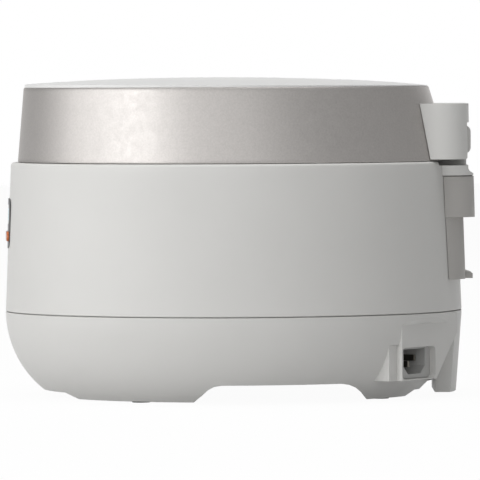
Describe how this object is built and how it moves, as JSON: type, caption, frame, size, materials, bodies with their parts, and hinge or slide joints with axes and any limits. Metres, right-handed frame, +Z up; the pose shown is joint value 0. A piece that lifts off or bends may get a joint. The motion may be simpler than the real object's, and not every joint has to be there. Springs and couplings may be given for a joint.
{
  "type": "rice cooker",
  "caption": "Oval white rice cooker with a metal-banded hinged lid, lift-out pot, induction coil, steam cap, pull-off dew collector and rear power inlet.",
  "frame": {"origin": "centre of the footprint's bounding box, on the surface that the feet stand on", "axes": "+X to the right seen from the front, +Y to the rear, +Z up; the control panel faces -Y"},
  "size_m": [0.258, 0.312, 0.212],
  "materials": {
    "white_plastic": "satin moulded white plastic",
    "crown_plastic": "glossy white plastic",
    "collector_plastic": "fine-grained light grey plastic",
    "grey_plastic": "moulded grey plastic",
    "tray_plastic": "moulded light grey plastic",
    "black_plastic": "moulded black plastic",
    "panel_plastic": "dark grey lacquered plastic",
    "window_plastic": "smoked display window",
    "start_key": "orange push button",
    "key_plastic": "silver-grey push buttons",
    "band_metal": "satin champagne metal band",
    "well_metal": "coated steel sheet",
    "inner_lid_metal": "pressed stainless sheet",
    "sensor_metal": "turned aluminium",
    "sink_metal": "extruded aluminium",
    "spring_steel": "plated steel",
    "pin_metal": "plated brass blades",
    "copper_wire": "enamelled copper wire",
    "ferrite": "sintered ferrite bars",
    "heater_film": "heater film",
    "pot_coating": "dark fluoropolymer coating",
    "circuit_board": "circuit board with parts",
    "foot_rubber": "grey-black rubber pads",
    "silicone": "translucent grey silicone"
  },
  "bodies": {
    "body": {"base_shell": "white_plastic", "upper_shell": "white_plastic", "rim_deck": "white_plastic", "pot_well": "well_metal", "coil_support": "tray_plastic", "induction_coil": "copper_wire", "ferrite_bars": "ferrite", "side_heater": "heater_film", "sensor_spring": "spring_steel", "inner_pot": "pot_coating", "power_board": "circuit_board", "heat_sink": "sink_metal", "fan_frame": "black_plastic", "inlet_housing": "grey_plastic", "inlet_pins": "pin_metal", "panel_bezel": "panel_plastic", "display_window": "window_plastic", "control_board": "circuit_board", "hinge_post": "white_plastic", "rear_ledge": "white_plastic", "latch_keeper": "spring_steel", "rubber_feet": "foot_rubber", "base_screws": "spring_steel"},
    "lid": {"lid_band": "band_metal", "lid_cover": "crown_plastic", "lid_frame": "tray_plastic", "hinge_cover": "white_plastic", "lid_heater": "well_metal", "inner_lid": "inner_lid_metal", "pot_gasket": "silicone", "steam_duct": "tray_plastic", "duct_seal": "silicone", "lid_button_spring": "spring_steel", "latch_pin": "spring_steel", "lid_screws": "spring_steel", "hinge_pin": "spring_steel", "hinge_spring": "spring_steel"},
    "sensor": {"sensor_cap": "sensor_metal"},
    "fan": {"fan_rotor": "black_plastic"},
    "start_key": {"start_button": "start_key"},
    "cancel_key": {"cancel_button": "key_plastic"},
    "menu_key": {"menu_button": "key_plastic"},
    "timer_key": {"timer_button": "key_plastic"},
    "collector": {"dew_collector": "collector_plastic"},
    "cap": {"steam_cap": "crown_plastic"},
    "release": {"lid_button": "crown_plastic"},
    "latch": {"latch_hook": "spring_steel"}
  },
  "joints": [
    {"name": "lid_hinge", "type": "hinge", "parent": "body", "child": "lid", "pos_m": [0, 0.14, 0.1695], "axis": [-1, 0, 0], "range_deg": [0, 90]},
    {"name": "release_press", "type": "slide", "parent": "lid", "child": "release", "axis": [0, 0, -1], "range_m": [0, 0.003], "stiffness_N_per_m": 600, "deforming": ["lid_button_spring"]},
    {"name": "latch_swing", "type": "hinge", "parent": "lid", "child": "latch", "pos_m": [0, -0.1355, 0.166], "axis": [-1, 0, 0], "range_deg": [0, 8.6]},
    {"name": "cap_lift", "type": "slide", "parent": "lid", "child": "cap", "axis": [0, 0, 1], "range_m": [0, 0.025]},
    {"name": "collector_pull", "type": "slide", "parent": "body", "child": "collector", "axis": [0, 1, 0], "range_m": [0, 0.03]},
    {"name": "sensor_travel", "type": "slide", "parent": "body", "child": "sensor", "axis": [0, 0, -1], "range_m": [0, 0.0015], "stiffness_N_per_m": 300, "deforming": ["sensor_spring"]},
    {"name": "fan_spin", "type": "hinge", "parent": "body", "child": "fan", "pos_m": [-0.035, 0.044, 0.022], "axis": [0, 0, 1], "continuous": true},
    {"name": "start_press", "type": "slide", "parent": "body", "child": "start_key", "axis": [-0.1311, 0.9914, 0], "range_m": [0, 0.001], "stiffness_N_per_m": 400},
    {"name": "cancel_press", "type": "slide", "parent": "body", "child": "cancel_key", "axis": [0.1311, 0.9914, 0], "range_m": [0, 0.001], "stiffness_N_per_m": 400},
    {"name": "menu_press", "type": "slide", "parent": "body", "child": "menu_key", "axis": [-0.0435, 0.9991, 0], "range_m": [0, 0.001], "stiffness_N_per_m": 400},
    {"name": "timer_press", "type": "slide", "parent": "body", "child": "timer_key", "axis": [0.0435, 0.9991, 0], "range_m": [0, 0.001], "stiffness_N_per_m": 400}
  ],
  "couplings": [
    {"joint": "latch_swing", "follows": "release_press", "rad_per_m": 50}
  ]
}
